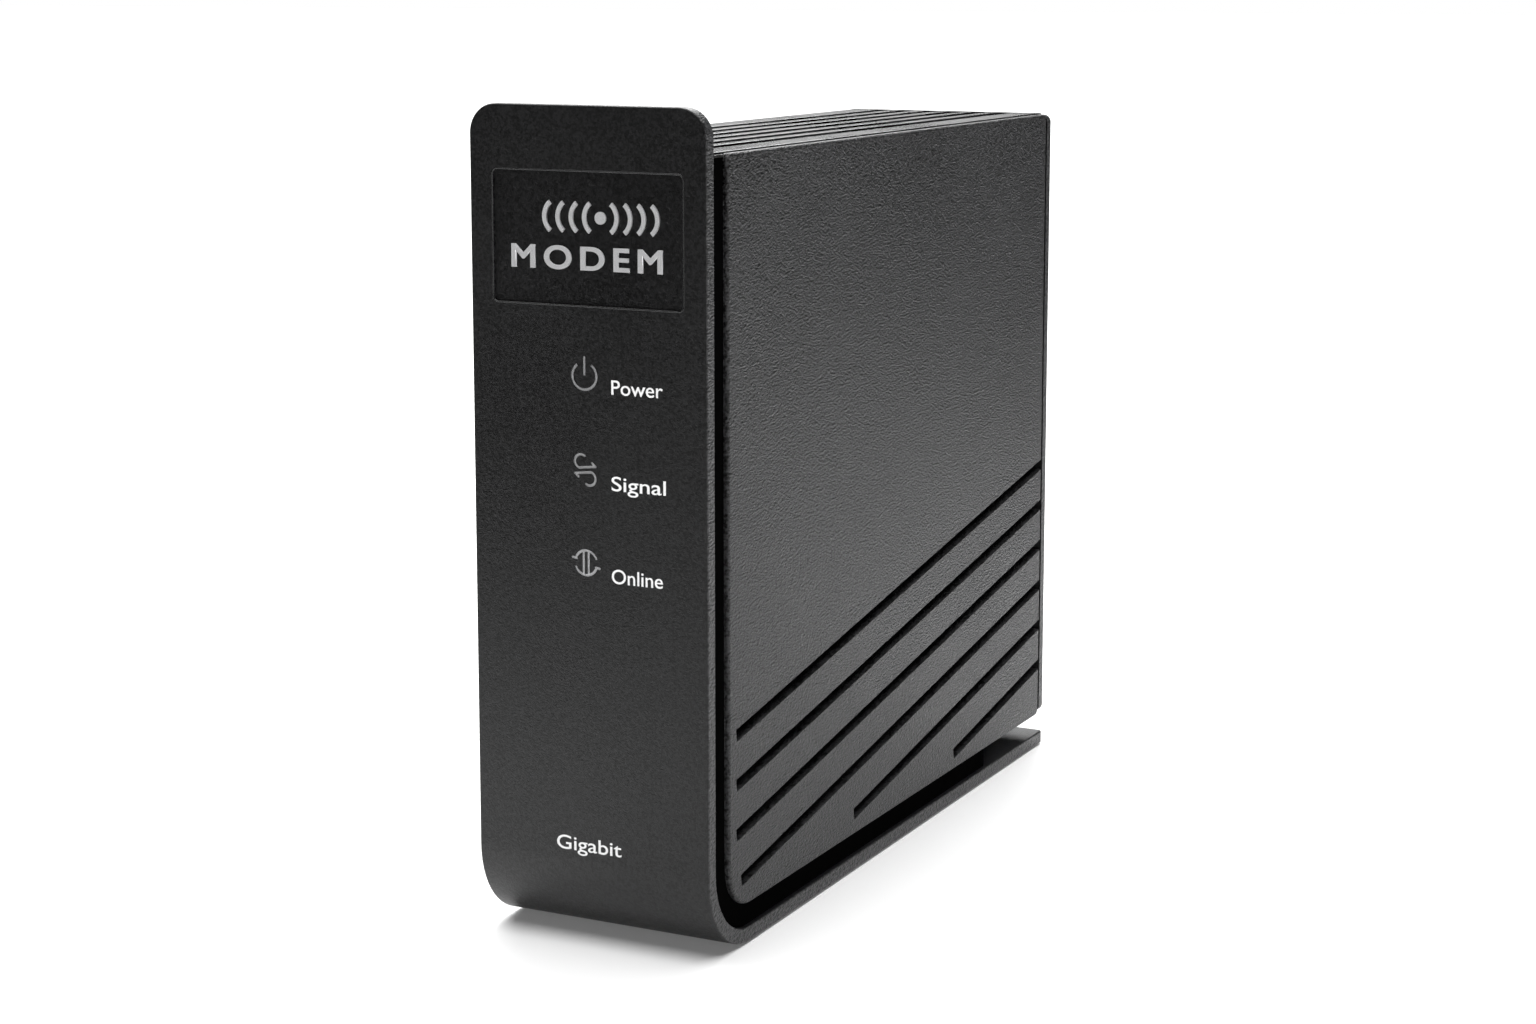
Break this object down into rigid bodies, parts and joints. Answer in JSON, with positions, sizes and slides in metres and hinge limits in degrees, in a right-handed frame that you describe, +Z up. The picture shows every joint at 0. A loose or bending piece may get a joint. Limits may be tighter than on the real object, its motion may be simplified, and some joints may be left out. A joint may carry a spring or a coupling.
{
  "type": "cable modem",
  "caption": "Upright desktop cable modem: a black case with diagonal vent grooves held in an L-shaped stand with a front plate, ports at the back.",
  "frame": {"origin": "middle of the footprint, at the underside of the rubber feet", "axes": "+Z up, front plate faces -Y, ports face +Y, +X is the right cover's side"},
  "size_m": [0.0468, 0.174, 0.15],
  "materials": {
    "stand_plastic": "fine matte grain",
    "cover_plastic": "spark-eroded grain",
    "spacer_plastic": "matte",
    "badge_gloss": "gloss",
    "silver_print": "satin silver",
    "icon_grey": "translucent grey",
    "clear_acrylic": "clear",
    "board_green": "solder mask",
    "chip_black": "matte",
    "thermal_grey": "soft pad",
    "alu": "milled",
    "tin_steel": "tin plated",
    "nickel": "nickel plated",
    "gold_wire": "gold plated",
    "insulator_white": "matte",
    "port_black": "satin",
    "can_sleeve": "shrink sleeve",
    "ferrite": "matte",
    "led_white": "diffused",
    "button_red": "satin",
    "foot_rubber": "matte",
    "screw_black": "black zinc",
    "screw_steel": "zinc plated"
  },
  "bodies": {
    "modem_body": {"stand": "stand_plastic", "nameplate": "badge_gloss", "nameplate_emblem": "silver_print", "icon_inlay_power": "icon_grey", "icon_inlay_signal": "icon_grey", "icon_inlay_online": "icon_grey", "light_pipe_power": "clear_acrylic", "light_pipe_signal": "clear_acrylic", "light_pipe_online": "clear_acrylic", "spacer": "spacer_plastic", "right_cover": "cover_plastic", "left_cover": "cover_plastic", "top_vent_panel": "cover_plastic", "rear_panel": "stand_plastic", "main_board": "board_green", "processor": "chip_black", "thermal_pad": "thermal_grey", "heat_sink": "alu", "memory_chip": "chip_black", "flash_chip": "chip_black", "ethernet_chip": "chip_black", "ethernet_transformers": "chip_black", "tuner_shield": "tin_steel", "tuner_chip": "chip_black", "crystal": "tin_steel", "capacitors": "can_sleeve", "inductors": "ferrite", "indicator_leds": "led_white", "ethernet_shield_a": "tin_steel", "ethernet_shield_b": "tin_steel", "ethernet_housing_a": "port_black", "ethernet_housing_b": "port_black", "ethernet_contacts_a": "gold_wire", "ethernet_contacts_b": "gold_wire", "coax_shell": "nickel", "coax_insulator": "insulator_white", "coax_nut": "nickel", "coax_washer": "nickel", "power_socket": "port_black", "power_pin": "nickel", "reset_switch": "chip_black", "rubber_feet": "foot_rubber", "board_screws": "screw_steel", "panel_screws": "screw_black", "stand_screws": "screw_black"},
    "reset_plunger": {"reset_button": "button_red"}
  },
  "joints": [
    {"name": "reset_press", "type": "slide", "parent": "modem_body", "child": "reset_plunger", "axis": [0, -1, 0], "range_m": [0, 0.0008], "stiffness_N_per_m": 1000, "springref_m": -0.0004}
  ]
}
